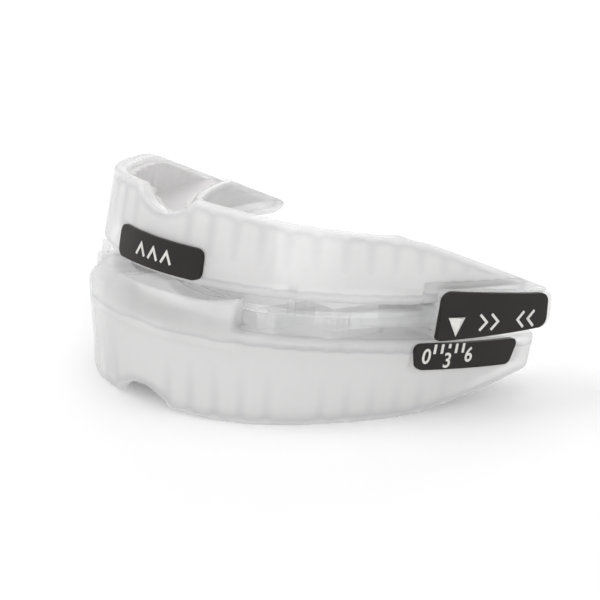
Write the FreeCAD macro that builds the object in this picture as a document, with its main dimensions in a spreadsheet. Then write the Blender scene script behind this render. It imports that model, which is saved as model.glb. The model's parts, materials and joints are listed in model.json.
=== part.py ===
import FreeCAD, Part
import math
import os
import Sketcher

# Adjustable two-tray mouthpiece, in millimetres. -Y is the front of the mouth, +X the wearer's left.
# Every piece is drawn level, in tray space: z = 0 is the top deck of the lower tray and y = 0 is the
# front of the tray that the piece belongs to. A placement then leans the pieces back by rest_tilt, so
# that the lower tray stands on the flat belly of its rims, and slides the lower tray forward by
# rest_advance.

doc = FreeCAD.newDocument("mouthpiece")
sheet = doc.addObject("Spreadsheet::Sheet", "dims")

driving_sizes = {
    # plan of both trays: a front arc and two side arcs, tangent to each other
    "arch_front_radius": "27.1",
    "arch_side_radius": "50.6",
    "arch_front_angle": "54",
    "band_width": "13",
    "arm_end_outer": "43.2",
    "arm_end_inner": "41.5",
    "end_corner_outer": "2.5",
    "end_corner_inner": "4",
    # how the trays stand to each other
    "tray_gap": "4.55",
    "rest_tilt": "6.8",
    "rest_advance": "2.1",
    "scale_travel": "6",
    "centre_offset": "20",
    # rigid shells; the cheek walls lean in, away from the gap between the trays
    "cheek_wall": "1.8",
    "tongue_wall": "1.4",
    "shell_floor": "1.6",
    "shell_edge_bevel": "0.9",
    "deck_edge_bevel": "0.45",
    "upper_lean": "4.5",
    "lower_lean": "8",
    # soft bite linings
    "liner_cheek_wall": "1.3",
    "liner_tongue_wall": "1.1",
    "liner_floor": "1.8",
    "liner_fit": "0.05",
    "liner_setback": "0.6",
    "liner_end_setback": "1.2",
    # upright flutes in the cheek walls of the linings
    "flute_depth": "0.65",
    "flute_pitch": "3.1",
    "flute_mid_height": "3.2",
    "flutes_rear": "37",
    # rim of the upper tray, above the lower deck
    "upper_rim_front": "15.9",
    "upper_shoulder_run": "9",
    "upper_shoulder_rise": "14.2",
    "upper_knee_run": "21.5",
    "upper_knee_rise": "13.15",
    "upper_rim_end": "5.2",
    "tongue_rim_rise": "10.9",
    "rim_bend": "20",
    "notch_radius": "7",
    "upper_notch_depth": "2.9",
    "lower_notch_depth": "2.1",
    # rim of the lower tray, below its deck
    "lower_rim_front": "12.2",
    "belly_front": "5.5",
    "belly_rear": "25",
    "belly_depth": "12.45",
    "lower_rim_end": "4.2",
    "belly_round": "8",
    # front lip of the lower tray and its two breathing vents
    "lip_depth": "5",
    "lip_half_width": "14.1",
    "lip_skirt": "2.4",
    "lip_clearance": "0.5",
    "lip_bevel": "3.2",
    "vent_width": "11",
    "vent_depth": "2",
    "vent_centre": "7.5",
    # toothed guide rail on the lower tray
    "rail_head_width": "3.6",
    "rail_web_width": "1.6",
    "rail_head_thick": "1.3",
    "rail_height": "2.95",
    "rail_rear": "34.5",
    "rack_inset": "1.5",
    "rack_lead": "0.9",
    "rack_shoulder_run": "3",
    "rack_shoulder_side": "1.2",
    "rack_pitch": "1",
    "rack_teeth": "9",
    "rack_tooth_depth": "0.4",
    "rack_tooth_width": "0.84",
    "rack_base": "0.6",
    "cut_past": "0.2",
    # stop pocket and peg
    "stop_inset": "6.7",
    "stop_run": "12.3",
    "stop_wall": "0.9",
    "stop_floor": "0.5",
    "stop_end_gap": "0.05",
    "peg_radius": "0.6",
    "peg_side_gap": "0.15",
    "peg_seat": "1.1",
    "peg_seat_fit": "0.02",
    "peg_top_gap": "0.05",
    "peg_tip_gap": "0.9",
    # track under the upper tray
    "track_rear": "33",
    "track_wall": "0.9",
    "track_clearance": "0.2",
    "deck_clearance": "0.35",
    # release lever: pivot, pad, arm and pawl
    "pivot_inset": "2.2",
    "pivot_run": "25.5",
    "hub_radius": "1.5",
    "hub_root": "0.7",
    "hub_shoulder": "2.2",
    "hub_gap": "0.2",
    "trunnion_radius": "0.8",
    "trunnion_fit": "0.08",
    "trunnion_length": "0.9",
    "trunnion_top_gap": "0.1",
    "ear_thick": "0.8",
    "ear_margin": "0.2",
    "ear_lap": "0.5",
    "pawl_teeth": "3",
    "pawl_run": "14.6",
    "pawl_lead": "0.6",
    "pawl_tooth_depth": "0.35",
    "pawl_tooth_width": "0.76",
    "pawl_gap": "0.1",
    "pawl_thick": "1.2",
    "pawl_nose": "0.96",
    "arm_thick": "1",
    "arm_drop": "0.7",
    "pad_thick": "1",
    "pad_front_low": "22.75",
    "pad_front_high": "23.3",
    "pad_rear": "39.9",
    "pad_low_front": "0.1",
    "pad_low_rear": "1.1",
    "pad_high_front": "7.2",
    "pad_high_rear": "6.05",
    "pad_corner_low": "0.7",
    "pad_corner": "1.6",
    "squeeze_recess": "1.2",
    "recess_clearance": "0.4",
    # black plates
    "plate_thick": "0.6",
    "plate_inset": "0.25",
    "plate_recess": "0.3",
    "plate_fit": "0.05",
    "plate_end_fit": "0.2",
    "plate_corner": "0.9",
    "scale_front": "22.8",
    "scale_rear": "38.3",
    "scale_high": "0.15",
    "scale_low": "3.75",
    "scale_lean": "0.9",
    "front_plate_width": "16.1",
    "front_plate_low": "5.3",
    "front_plate_high": "9.5",
    "front_plate_corner": "1.2",
    # how far a cutting outline runs past the piece that it cuts
    "overrun": "5",
    "frame_margin": "2",
}

for row, (alias, number) in enumerate(driving_sizes.items(), 1):
    sheet.set("A%d" % row, alias)
    sheet.set("B%d" % row, number)
    sheet.setAlias("B%d" % row, alias)
doc.recompute()


class Size:
    """A size with its value now and the expression that ties it to the sheet."""

    def __init__(self, value, text):
        self.value = value
        self.text = text

    def __add__(self, other):
        other = as_size(other)
        return Size(self.value + other.value, "(%s + %s)" % (self.text, other.text))

    def __sub__(self, other):
        other = as_size(other)
        return Size(self.value - other.value, "(%s - %s)" % (self.text, other.text))

    def __mul__(self, other):
        other = as_size(other)
        return Size(self.value * other.value, "(%s * %s)" % (self.text, other.text))

    def __truediv__(self, other):
        other = as_size(other)
        return Size(self.value / other.value, "(%s / %s)" % (self.text, other.text))

    def __neg__(self):
        return Size(-self.value, "(0 - %s)" % self.text)


def as_size(number):
    return number if isinstance(number, Size) else Size(number, repr(number))


def size(alias):
    return Size(float(driving_sizes[alias]), "dims." + alias)


def sine(angle):
    return Size(math.sin(math.radians(angle.value)), "sin(%s)" % angle.text)


def cosine(angle):
    return Size(math.cos(math.radians(angle.value)), "cos(%s)" % angle.text)


def square_root(amount):
    return Size(math.sqrt(amount.value), "sqrt(%s)" % amount.text)


def bind(thing, path, amount):
    thing.setExpression(path, as_size(amount).text)


# ---- derived places that several pieces share

front_radius = size("arch_front_radius")
side_radius = size("arch_side_radius")
side_centre_x = (side_radius - front_radius) * sine(size("arch_front_angle"))
side_centre_y = front_radius + (side_radius - front_radius) * cosine(size("arch_front_angle"))
band = size("band_width")
gap = size("tray_gap")
upper_floor_top = gap + size("shell_floor")
overrun = size("overrun")


def upper_lean_at(height):
    """How far the cheek side of the upper tray has leant in at a height."""
    return (height - gap) * sine(size("upper_lean")) / cosine(size("upper_lean"))


def lower_lean_at(height):
    """How far the cheek side of the lower tray has leant in at a height."""
    return -height * sine(size("lower_lean")) / cosine(size("lower_lean"))


def side_arc_at(run):
    """How far out the cheek side lies at a run on the side arc."""
    away = run - side_centre_y
    return square_root(side_radius * side_radius - away * away) - side_centre_x


def front_arc_at(run):
    """How far out the cheek side lies at a run on the front arc."""
    away = front_radius - run
    return square_root(front_radius * front_radius - away * away)


rail_low_half = size("rail_web_width") / 2
rail_high_half = size("rail_head_width") / 2
rack_face = side_arc_at(size("pawl_run")) - size("rack_inset")
rail_centre = rack_face - rail_high_half
track_half = rail_high_half + size("track_clearance") + size("track_wall")
# the pawl's first tooth meets the middle notch when the scale reads half its travel
first_notch = size("pawl_run") - size("scale_travel") / 2 + size("rest_advance")
rack_front = first_notch - size("rack_lead")
rack_rear = first_notch + size("rack_pitch") * (size("rack_teeth") - 1) + size("rack_lead")
# and the track starts just behind the rack when the lower tray is furthest back
track_front = rack_rear - size("rest_advance") + size("scale_travel") / 2 + size("track_clearance")
pivot_side = side_arc_at(size("pivot_run")) - size("pivot_inset")
stop_side = front_arc_at(size("stop_run")) - size("stop_inset")
beyond = side_radius + overrun


# ---- small helpers for bodies, sketches and features

def new_body(label):
    body = doc.addObject("PartDesign::Body", label)
    body.Label = label
    return body


def origin_plane(body, role):
    return next(item for item in body.Origin.OriginFeatures if item.Role == role)


def new_sketch(body, name, role="XY_Plane", height=None):
    sketch = body.newObject("Sketcher::SketchObject", name)
    sketch.AttachmentSupport = (origin_plane(body, role), [""])
    sketch.MapMode = "FlatFace"
    if height is not None:
        height = as_size(height)
        sketch.AttachmentOffset = FreeCAD.Placement(
            FreeCAD.Vector(0, 0, height.value), FreeCAD.Rotation())
        bind(sketch, "AttachmentOffset.Base.z", height)
    return sketch


def dimension(sketch, kind, places, amount):
    amount = as_size(amount)
    index = sketch.addConstraint(Sketcher.Constraint(kind, *places, amount.value))
    sketch.setExpression("Constraints[%d]" % index, amount.text)


def add_feature(body, kind, name, sketch, length, backwards, both_ways):
    feature = body.newObject("PartDesign::" + kind, name)
    feature.Profile = sketch
    length = as_size(length)
    feature.Length = length.value
    bind(feature, "Length", length)
    feature.Reversed = backwards
    feature.Midplane = both_ways
    doc.recompute()
    return feature


def pad(body, name, sketch, length, backwards=False, both_ways=False):
    before = body.Shape.Volume if body.Tip and not body.Shape.isNull() else 0
    feature = add_feature(body, "Pad", name, sketch, length, backwards, both_ways)
    if feature.Shape.Volume <= before:
        raise ValueError("%s adds nothing to %s" % (name, body.Label))
    return feature


def pocket(body, name, sketch, length, backwards=False, both_ways=False):
    before = body.Shape.Volume
    feature = add_feature(body, "Pocket", name, sketch, length, backwards, both_ways)
    if feature.Shape.Volume >= before - 1e-6:
        raise ValueError("%s cuts nothing from %s" % (name, body.Label))
    return feature


def mirrored(body, name, features):
    feature = body.newObject("PartDesign::Mirrored", name)
    feature.Originals = features
    feature.MirrorPlane = (origin_plane(body, "YZ_Plane"), [""])
    body.Tip = feature
    doc.recompute()
    return feature


def line_pattern(body, name, features, axis, length, count):
    feature = body.newObject("PartDesign::LinearPattern", name)
    feature.Originals = features
    feature.Direction = axis
    feature.Length = length.value
    bind(feature, "Length", length)
    feature.Occurrences = int(count.value)
    bind(feature, "Occurrences", count)
    body.Tip = feature
    doc.recompute()
    return feature


def work_edges(body, kind, name, keep, aspect, amount):
    """Rounds or bevels every edge of a body that the test keep picks."""
    base = body.Tip
    names = ["Edge%d" % (place + 1) for place, edge in enumerate(base.Shape.Edges) if keep(edge)]
    if not names:
        raise ValueError("%s finds no edge on %s" % (name, body.Label))
    feature = body.newObject("PartDesign::" + kind, name)
    feature.Base = (base, names)
    setattr(feature, aspect, amount.value)
    bind(feature, aspect, amount)
    doc.recompute()
    return feature


def fillet(body, name, keep, radius):
    return work_edges(body, "Fillet", name, keep, "Radius", radius)


def chamfer(body, name, keep, width):
    return work_edges(body, "Chamfer", name, keep, "Size", width)


def loft(body, name, draw, low, high, lean_at, cut=False):
    """Joins the outlines at two heights; draw gets each sketch and how far its cheek side leans in."""
    before = body.Shape.Volume if cut else 0
    sketches = []
    for place, height in (("low", low), ("high", high)):
        height = as_size(height)
        sketch = new_sketch(body, "%s_%s_outline" % (name, place), height=height)
        draw(sketch, lean_at(height))
        sketches.append(sketch)
    kind = "PartDesign::SubtractiveLoft" if cut else "PartDesign::AdditiveLoft"
    feature = body.newObject(kind, name)
    feature.Profile = sketches[0]
    feature.Sections = sketches[1:]
    feature.Ruled = True
    doc.recompute()
    gained = feature.Shape.Volume - before
    if (gained > -1e-6) if cut else (gained < 1e-6):
        raise ValueError("%s does nothing to %s" % (name, body.Label))
    return feature


def lean_in(body, name, radii, height, angle, upwards):
    """Leans the upright round faces of the given radii inwards, away from a level plane."""
    base = body.Tip
    names = []
    for place, face in enumerate(base.Shape.Faces):
        surface = face.Surface
        if isinstance(surface, Part.Cylinder) and abs(surface.Axis.z) > 0.999:
            if min(abs(surface.Radius - radius.value) for radius in radii) < 1e-4:
                names.append("Face%d" % (place + 1))
    if not names:
        raise ValueError("%s finds no face on %s" % (name, body.Label))
    level = body.newObject("PartDesign::Plane", name + "_level")
    level.AttachmentSupport = (origin_plane(body, "XY_Plane"), [""])
    level.MapMode = "FlatFace"
    bind(level, "AttachmentOffset.Base.z", height)
    feature = body.newObject("PartDesign::Draft", name)
    feature.Base = (base, names)
    feature.NeutralPlane = (level, [""])
    bind(feature, "Angle", angle)
    feature.Reversed = not upwards
    body.Tip = feature
    doc.recompute()
    return feature


def is_flat_at(edge, height, slack=1e-4):
    box = edge.BoundBox
    return abs(box.ZMin - height) < slack and abs(box.ZMax - height) < slack


def is_upright(edge):
    box = edge.BoundBox
    return box.ZLength > 1 and box.XLength < 1e-4 and box.YLength < 1e-4


# ---- outlines

def arc(centre, radius, start, end):
    circle = Part.Circle(FreeCAD.Vector(centre[0], centre[1], 0), FreeCAD.Vector(0, 0, 1), radius)
    return Part.ArcOfCircle(circle, start, end)


def point_on(centre, radius, angle):
    return FreeCAD.Vector(centre[0] + radius * math.cos(angle), centre[1] + radius * math.sin(angle), 0)


def horseshoe(sketch, outer, inner, end_outer, end_inner):
    """The arch between two offsets from its cheek face: three arcs outside, three inside, two caps."""
    outer, inner = as_size(outer), as_size(inner)
    end_outer, end_inner = as_size(end_outer), as_size(end_inner)
    spread = math.radians(size("arch_front_angle").value)
    left = (-side_centre_x.value, side_centre_y.value)
    right = (side_centre_x.value, side_centre_y.value)
    front = (0, front_radius.value)
    joint = -math.pi / 2 + spread

    def side_arc(centre, offset, end, hand):
        radius = side_radius.value - offset.value
        stop = math.asin((end.value - centre[1]) / radius)
        if hand > 0:
            return arc(centre, radius, joint, stop), point_on(centre, radius, stop)
        return arc(centre, radius, math.pi - stop, math.pi - joint), point_on(centre, radius, math.pi - stop)

    outer_left_arc, outer_left_end = side_arc(left, outer, end_outer, 1)
    inner_left_arc, inner_left_end = side_arc(left, inner, end_inner, 1)
    outer_right_arc, outer_right_end = side_arc(right, outer, end_outer, -1)
    inner_right_arc, inner_right_end = side_arc(right, inner, end_inner, -1)
    outer_front_arc = arc(front, front_radius.value - outer.value, -math.pi - joint, joint)
    inner_front_arc = arc(front, front_radius.value - inner.value, -math.pi - joint, joint)
    outer_front, outer_left, cap_left, inner_left, inner_front, inner_right, cap_right, outer_right = \
        sketch.addGeometry([
            outer_front_arc, outer_left_arc, Part.LineSegment(outer_left_end, inner_left_end),
            inner_left_arc, inner_front_arc, inner_right_arc,
            Part.LineSegment(outer_right_end, inner_right_end), outer_right_arc], False)
    sketch.addConstraint([
        Sketcher.Constraint("Tangent", outer_front, 2, outer_left, 1),
        Sketcher.Constraint("Tangent", outer_right, 2, outer_front, 1),
        Sketcher.Constraint("Tangent", inner_front, 2, inner_left, 1),
        Sketcher.Constraint("Tangent", inner_right, 2, inner_front, 1),
        Sketcher.Constraint("Coincident", outer_left, 2, cap_left, 1),
        Sketcher.Constraint("Coincident", cap_left, 2, inner_left, 2),
        Sketcher.Constraint("Coincident", outer_right, 1, cap_right, 1),
        Sketcher.Constraint("Coincident", cap_right, 2, inner_right, 1),
        Sketcher.Constraint("PointOnObject", outer_front, 3, -2),
        Sketcher.Constraint("Coincident", inner_front, 3, outer_front, 3),
        Sketcher.Constraint("Coincident", inner_left, 3, outer_left, 3),
        Sketcher.Constraint("Coincident", inner_right, 3, outer_right, 3),
    ])
    dimension(sketch, "DistanceY", (-1, 1, outer_front, 3), front_radius)
    dimension(sketch, "DistanceX", (-1, 1, outer_left, 3), -side_centre_x)
    dimension(sketch, "DistanceY", (-1, 1, outer_left, 3), side_centre_y)
    dimension(sketch, "DistanceX", (-1, 1, outer_right, 3), side_centre_x)
    dimension(sketch, "DistanceY", (-1, 1, outer_right, 3), side_centre_y)
    dimension(sketch, "Radius", (outer_front,), front_radius - outer)
    dimension(sketch, "Radius", (inner_front,), front_radius - inner)
    dimension(sketch, "DistanceY", (-1, 1, outer_left, 2), end_outer)
    dimension(sketch, "DistanceY", (-1, 1, outer_right, 1), end_outer)
    dimension(sketch, "DistanceY", (-1, 1, inner_left, 2), end_inner)
    dimension(sketch, "DistanceY", (-1, 1, inner_right, 1), end_inner)


def side_strip(sketch, outer, inner, front, rear):
    """A strip of the left side arc between two offsets and two runs."""
    outer, inner, front, rear = as_size(outer), as_size(inner), as_size(front), as_size(rear)
    centre = (-side_centre_x.value, side_centre_y.value)

    def strip_arc(offset):
        radius = side_radius.value - offset.value
        start = math.asin((front.value - centre[1]) / radius)
        stop = math.asin((rear.value - centre[1]) / radius)
        ends = point_on(centre, radius, start), point_on(centre, radius, stop)
        return arc(centre, radius, start, stop), ends

    outer_arc, outer_ends = strip_arc(outer)
    inner_arc, inner_ends = strip_arc(inner)
    out_side, in_side, front_end, rear_end = sketch.addGeometry([
        outer_arc, inner_arc,
        Part.LineSegment(inner_ends[0], outer_ends[0]),
        Part.LineSegment(outer_ends[1], inner_ends[1])], False)
    sketch.addConstraint([
        Sketcher.Constraint("Coincident", front_end, 1, in_side, 1),
        Sketcher.Constraint("Coincident", front_end, 2, out_side, 1),
        Sketcher.Constraint("Coincident", rear_end, 1, out_side, 2),
        Sketcher.Constraint("Coincident", rear_end, 2, in_side, 2),
        Sketcher.Constraint("Coincident", in_side, 3, out_side, 3),
        Sketcher.Constraint("Horizontal", front_end),
        Sketcher.Constraint("Horizontal", rear_end),
    ])
    dimension(sketch, "DistanceX", (-1, 1, out_side, 3), -side_centre_x)
    dimension(sketch, "DistanceY", (-1, 1, out_side, 3), side_centre_y)
    dimension(sketch, "Radius", (out_side,), side_radius - outer)
    dimension(sketch, "Radius", (in_side,), side_radius - inner)
    dimension(sketch, "DistanceY", (-1, 1, out_side, 1), front)
    dimension(sketch, "DistanceY", (-1, 1, out_side, 2), rear)


def front_strip(sketch, outer, inner, half_width):
    """A strip of the front arc between two offsets, its half width being measured at the cheek face."""
    outer, inner = as_size(outer), as_size(inner)
    centre = (0, front_radius.value)
    half = math.asin(half_width.value / front_radius.value)
    start, stop = -math.pi / 2 - half, -math.pi / 2 + half
    outer_radius = front_radius.value - outer.value
    inner_radius = front_radius.value - inner.value
    out_side, in_side, right_end, left_end = sketch.addGeometry([
        arc(centre, outer_radius, start, stop), arc(centre, inner_radius, start, stop),
        Part.LineSegment(point_on(centre, inner_radius, start), point_on(centre, outer_radius, start)),
        Part.LineSegment(point_on(centre, outer_radius, stop), point_on(centre, inner_radius, stop))], False)
    middle = sketch.addGeometry(
        Part.LineSegment(FreeCAD.Vector(centre[0], centre[1], 0), FreeCAD.Vector(0, 1, 0)), True)
    sketch.addConstraint([
        Sketcher.Constraint("Coincident", right_end, 1, in_side, 1),
        Sketcher.Constraint("Coincident", right_end, 2, out_side, 1),
        Sketcher.Constraint("Coincident", left_end, 1, out_side, 2),
        Sketcher.Constraint("Coincident", left_end, 2, in_side, 2),
        Sketcher.Constraint("PointOnObject", out_side, 3, -2),
        Sketcher.Constraint("Coincident", in_side, 3, out_side, 3),
        Sketcher.Constraint("PointOnObject", out_side, 3, right_end),
        Sketcher.Constraint("PointOnObject", out_side, 3, left_end),
        Sketcher.Constraint("Symmetric", out_side, 1, out_side, 2, -2),
        Sketcher.Constraint("Coincident", middle, 1, out_side, 3),
        Sketcher.Constraint("Vertical", middle),
        Sketcher.Constraint("PointOnObject", middle, 2, -1),
    ])
    dimension(sketch, "DistanceY", (-1, 1, out_side, 3), front_radius)
    dimension(sketch, "Radius", (out_side,), front_radius - outer)
    dimension(sketch, "Radius", (in_side,), front_radius - inner)
    reach = (front_radius - outer) * half_width / front_radius
    dimension(sketch, "DistanceX", (-1, 1, out_side, 2), reach)


def rounded_polygon(sketch, corners):
    """A closed outline of straight sides; a corner is (across, up) or (across, up, radius)."""
    corners = [tuple(as_size(number) for number in corner) for corner in corners]
    count = len(corners)
    knees = [FreeCAD.Vector(corner[0].value, corner[1].value, 0) for corner in corners]
    starts, stops = list(knees), list(knees)
    arcs = {}
    for index, corner in enumerate(corners):
        if len(corner) < 3:
            continue
        knee = knees[index]
        back = (knees[index - 1] - knee).normalize()
        ahead = (knees[(index + 1) % count] - knee).normalize()
        half = back.getAngle(ahead) / 2
        radius = corner[2].value
        reach = radius / math.tan(half)
        stops[index] = knee + back * reach
        starts[index] = knee + ahead * reach
        centre = knee + (back + ahead).normalize() * (radius / math.sin(half))
        first = math.atan2(stops[index].y - centre.y, stops[index].x - centre.x)
        last = math.atan2(starts[index].y - centre.y, starts[index].x - centre.x)
        turns_left = back.x * ahead.y - back.y * ahead.x < 0
        if turns_left:
            arcs[index] = (arc((centre.x, centre.y), radius, first, last), 1, 2)
        else:
            arcs[index] = (arc((centre.x, centre.y), radius, last, first), 2, 1)
    sides = []
    for index in range(count):
        side = Part.LineSegment(starts[index], stops[(index + 1) % count])
        sides.append(sketch.addGeometry(side, False))
    for index, corner in enumerate(corners):
        before, after = sides[index - 1], sides[index]
        if index in arcs:
            shape, enter, leave = arcs[index]
            bend = sketch.addGeometry(shape, False)
            knee = sketch.addGeometry(Part.Point(knees[index]), True)
            sketch.addConstraint([
                Sketcher.Constraint("Tangent", before, 2, bend, enter),
                Sketcher.Constraint("Tangent", bend, leave, after, 1),
                Sketcher.Constraint("PointOnObject", knee, 1, before),
                Sketcher.Constraint("PointOnObject", knee, 1, after),
            ])
            dimension(sketch, "Radius", (bend,), corner[2])
            place = (-1, 1, knee, 1)
        else:
            sketch.addConstraint(Sketcher.Constraint("Coincident", before, 2, after, 1))
            place = (-1, 1, after, 1)
        dimension(sketch, "DistanceX", place, corner[0])
        dimension(sketch, "DistanceY", place, corner[1])


def disc(sketch, across, up, radius):
    across, up, radius = as_size(across), as_size(up), as_size(radius)
    ring = sketch.addGeometry(Part.Circle(
        FreeCAD.Vector(across.value, up.value, 0), FreeCAD.Vector(0, 0, 1), radius.value), False)
    dimension(sketch, "Radius", (ring,), radius)
    if across.value:
        dimension(sketch, "DistanceX", (-1, 1, ring, 3), across)
    else:
        sketch.addConstraint(Sketcher.Constraint("PointOnObject", ring, 3, -2))
    dimension(sketch, "DistanceY", (-1, 1, ring, 3), up)


# ---- the two rims, seen from the side

def upper_rim_cut(body, drop):
    """Takes away all that stands above the upper rim line, lowered by drop."""
    drop = as_size(drop)
    sketch = new_sketch(body, "upper_rim_line", "YZ_Plane")
    shoulder_run, shoulder_rise = size("upper_shoulder_run"), size("upper_shoulder_rise") - drop
    knee_run, knee_rise = size("upper_knee_run"), size("upper_knee_rise") - drop
    slope_front = (size("upper_rim_front") - size("upper_shoulder_rise")) / shoulder_run
    slope_rear = (size("upper_knee_rise") - size("upper_rim_end")) / (size("arm_end_outer") - knee_run)
    behind = size("arm_end_outer") + overrun
    rounded_polygon(sketch, [
        (-overrun, shoulder_rise + slope_front * (shoulder_run + overrun)),
        (shoulder_run, shoulder_rise, size("rim_bend")),
        (knee_run, knee_rise, size("rim_bend")),
        (behind, knee_rise - slope_rear * (behind - knee_run)),
        (behind, beyond),
        (-overrun, beyond),
    ])
    pocket(body, "upper_rim_cut", sketch, beyond * 2, both_ways=True)


def tongue_rim_cut(body, drop):
    """Lowers the tongue side of the upper tray to a level rim, lowered further by drop."""
    sketch = new_sketch(body, "tongue_rim_outline", height=size("tongue_rim_rise") - drop)
    horseshoe(sketch, band / 2, band + 1, size("arm_end_outer") + overrun, size("arm_end_inner") + overrun)
    pocket(body, "tongue_rim_cut", sketch, beyond, backwards=True)


def lower_rim_cut(body, lift):
    """Takes away all that hangs below the lower rim line, raised by lift."""
    lift = as_size(lift)
    sketch = new_sketch(body, "lower_rim_line", "YZ_Plane")
    tilt = size("rest_tilt")
    belly_slope = sine(tilt) / cosine(tilt)
    front_run, rear_run = size("belly_front"), size("belly_rear")
    front_z = lift - size("belly_depth")
    rear_z = front_z + belly_slope * (rear_run - front_run)
    slope_front = (size("belly_depth") - size("lower_rim_front")) / front_run
    slope_rear = (lift - size("lower_rim_end") - rear_z) / (size("arm_end_outer") - rear_run)
    behind = size("arm_end_outer") + overrun
    rounded_polygon(sketch, [
        (-overrun, front_z + slope_front * (front_run + overrun)),
        (front_run, front_z, size("belly_round")),
        (rear_run, rear_z, size("rim_bend")),
        (behind, rear_z + slope_rear * (behind - rear_run)),
        (behind, -beyond),
        (-overrun, -beyond),
    ])
    pocket(body, "lower_rim_cut", sketch, beyond * 2, both_ways=True)


def frenum_notch(body, deepest, hand):
    """A round notch in the middle of the front wall; hand is 1 where it opens up and -1 down."""
    sketch = new_sketch(body, "frenum_notch_outline", "XZ_Plane", overrun)
    disc(sketch, 0.0, deepest + size("notch_radius") * hand, size("notch_radius"))
    pocket(body, "frenum_notch", sketch, band)


# ---- shells and linings

def round_arm_ends(body, name, run, radius):
    """Rounds the upright corners that lie at a run, at the rear of both arms."""
    def near(edge):
        box = edge.BoundBox
        return box.ZLength > 1 and abs(box.YMax - run.value) < 0.5

    fillet(body, name, near, radius)


def round_shell_ends(body):
    round_arm_ends(body, "outer_end_corners", size("arm_end_outer"), size("end_corner_outer"))
    round_arm_ends(body, "inner_end_corners", size("arm_end_inner"), size("end_corner_inner"))


def both_arcs(offset):
    return [front_radius - offset, side_radius - offset]


def leaning_block(body, outer, inner, end_setback, start, level, hand):
    """The band of one tray: its cheek side leans in and the corners at its ends are rounded."""
    sketch = new_sketch(body, "band_outline", height=start)
    horseshoe(sketch, outer, inner,
              size("arm_end_outer") - end_setback, size("arm_end_inner") - end_setback)
    pad(body, "band_block", sketch, size("upper_rim_front"), backwards=hand < 0)
    angle = size("upper_lean") if hand > 0 else size("lower_lean")
    lean_in(body, "cheek_lean", both_arcs(as_size(outer)), level, angle, hand > 0)


def band_outline(outer, inner, end_setback):
    """Draws the arch between two offsets, its ends set back from those of the shells."""
    def draw(sketch, shift):
        horseshoe(sketch, as_size(outer) + shift, inner,
                  size("arm_end_outer") - end_setback, size("arm_end_inner") - end_setback)
    return draw


def front_outline(outer, inner, half_width):
    """Draws a strip of the front arc."""
    def draw(sketch, shift):
        front_strip(sketch, outer + shift, inner + shift, half_width)
    return draw


def side_outline(outer, inner, front, rear):
    """Draws a strip of the left side arc."""
    def draw(sketch, shift):
        side_strip(sketch, outer + shift, inner + shift, front, rear)
    return draw


def make_upper_shell():
    body = new_body("upper_shell")
    leaning_block(body, 0.0, band, 0.0, gap, gap, 1)
    round_shell_ends(body)
    chamfer(body, "lower_edge_bevel", lambda edge: is_flat_at(edge, gap.value), size("shell_edge_bevel"))
    channel = band_outline(size("cheek_wall"), band - size("tongue_wall"), -overrun)
    loft(body, "tooth_channel", channel, upper_floor_top,
         gap + size("upper_rim_front") + overrun, upper_lean_at, cut=True)
    upper_rim_cut(body, 0.0)
    tongue_rim_cut(body, 0.0)
    frenum_notch(body, size("upper_rim_front") - size("upper_notch_depth"), 1)
    # room behind each squeeze pad, a socket for its trunnion and a seat for the stop peg
    recess = new_sketch(body, "pad_recess_outline", height=gap)
    side_strip(recess, -size("pad_thick"), size("squeeze_recess"),
               size("pad_front_low") - size("recess_clearance"), size("arm_end_outer") + overrun)
    recess_cut = pocket(body, "pad_recess", recess,
                        size("pad_high_front") + size("recess_clearance") - gap, backwards=True)
    socket = new_sketch(body, "trunnion_socket_outline", height=gap)
    disc(socket, pivot_side, size("pivot_run"), size("trunnion_radius") + size("trunnion_fit"))
    socket_cut = pocket(body, "trunnion_socket", socket,
                        size("trunnion_length") + size("trunnion_top_gap"), backwards=True)
    seat = new_sketch(body, "peg_seat_outline", height=gap)
    disc(seat, stop_side, size("stop_run") - size("rest_advance"),
         size("peg_radius") + size("peg_seat_fit"))
    seat_cut = pocket(body, "peg_seat", seat, size("peg_seat"), backwards=True)
    mirrored(body, "right_side_cuts", [recess_cut, socket_cut, seat_cut])
    fit = size("plate_fit")
    plate_seat = front_outline(-size("plate_thick"), size("plate_recess"),
                               size("front_plate_width") / 2 + size("plate_end_fit"))
    loft(body, "front_plate_seat", plate_seat, size("front_plate_low") - fit,
         size("front_plate_high") + fit, upper_lean_at, cut=True)
    return body


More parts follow.
